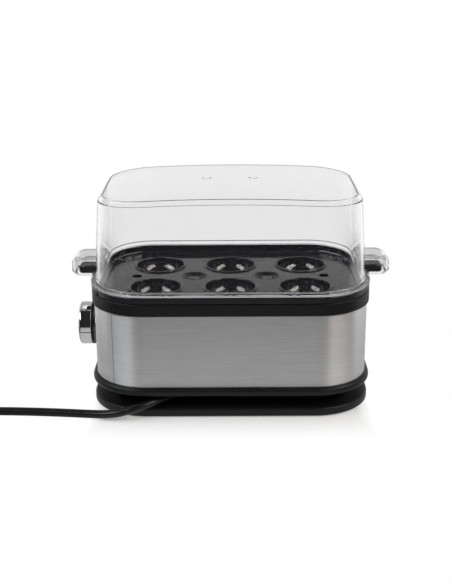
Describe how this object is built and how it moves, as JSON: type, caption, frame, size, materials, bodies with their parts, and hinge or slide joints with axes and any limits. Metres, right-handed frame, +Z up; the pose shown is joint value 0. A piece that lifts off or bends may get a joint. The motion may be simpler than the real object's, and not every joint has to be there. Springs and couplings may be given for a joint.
{
  "type": "egg cooker with clear lid",
  "caption": "Household electric egg cooker with a brushed steel body, black egg tray, clear domed lid with end grips, side knob and mains lead.",
  "frame": {"origin": "on the table under the middle of the body, without the lead", "axes": "+Z up, +X along the body's longer side away from the knob, -Y towards the front that the picture shows"},
  "size_m": [0.4187, 0.1658, 0.168],
  "materials": {
    "black_plastic": "satin black moulded plastic",
    "tray_black": "glossy black moulded plastic",
    "clear_plastic": "clear polished plastic",
    "brushed_steel": "brushed lengthwise",
    "chrome": "bright chromed plastic",
    "rubber": "matt black rubber",
    "cord_black": "glossy black flexible plastic",
    "silicone": "red silicone rubber",
    "coated_aluminium": "dark non-stick coating on aluminium",
    "aluminium": "plain cast aluminium",
    "zinc_steel": "zinc-plated steel",
    "brass": "plain brass",
    "ceramic": "off-white heat-resistant moulding",
    "wire_brown": "brown wire insulation",
    "wire_blue": "blue wire insulation",
    "wire_green": "green and yellow wire insulation"
  },
  "bodies": {
    "cooker_body": {"rubber_foot_front_left": "rubber", "foot_plate_screw_front_left": "zinc_steel", "housing_screw_front_left": "zinc_steel", "rubber_foot_front_right": "rubber", "foot_plate_screw_front_right": "zinc_steel", "housing_screw_front_right": "zinc_steel", "rubber_foot_rear_left": "rubber", "foot_plate_screw_rear_left": "zinc_steel", "housing_screw_rear_left": "zinc_steel", "rubber_foot_rear_right": "rubber", "foot_plate_screw_rear_right": "zinc_steel", "housing_screw_rear_right": "zinc_steel", "foot_plate": "black_plastic", "base_housing": "black_plastic", "steel_sleeve": "brushed_steel", "rim_collar": "black_plastic", "pan_seal": "silicone", "heating_pan": "coated_aluminium", "heat_spreader": "aluminium", "heating_element": "zinc_steel", "element_terminal_live": "brass", "element_terminal_neutral": "brass", "element_clamp_left": "zinc_steel", "element_clamp_right": "zinc_steel", "thermostat": "ceramic", "thermostat_strap": "zinc_steel", "thermal_fuse": "ceramic", "fuse_clip": "zinc_steel", "control_unit": "ceramic", "control_bracket": "zinc_steel", "bracket_screw_front": "zinc_steel", "bracket_screw_rear": "zinc_steel", "shaft_nut": "zinc_steel", "terminal_block": "ceramic", "cord_gland": "cord_black", "cord_tail": "cord_black", "cord_clamp": "black_plastic", "clamp_screw": "zinc_steel", "supply_core_live": "wire_brown", "supply_core_neutral": "wire_blue", "supply_core_earth": "wire_green", "wire_live_supply": "wire_brown", "wire_live_switched": "wire_brown", "wire_neutral": "wire_blue", "wire_earth": "wire_green", "earth_screw": "brass", "cord": "cord_black", "cord_coil": "cord_black", "cord_tie": "black_plastic", "plug_body": "cord_black", "plug_pin_outer": "zinc_steel", "plug_pin_inner": "zinc_steel"},
    "tray": {"egg_tray": "tray_black"},
    "lid": {"lid_shell": "clear_plastic"},
    "knob": {"knob_skirt": "black_plastic", "knob_cap": "chrome", "control_shaft": "brass"}
  },
  "joints": [
    {"name": "tray_lift", "type": "slide", "parent": "cooker_body", "child": "tray", "axis": [0, 0, 1], "range_m": [0, 0.06]},
    {"name": "lid_lift", "type": "slide", "parent": "tray", "child": "lid", "axis": [0, 0, 1], "range_m": [0, 0.1]},
    {"name": "knob_turn", "type": "hinge", "parent": "cooker_body", "child": "knob", "pos_m": [-0.11, 0, 0.0513], "axis": [1, 0, 0], "range_deg": [-188, 82]}
  ]
}
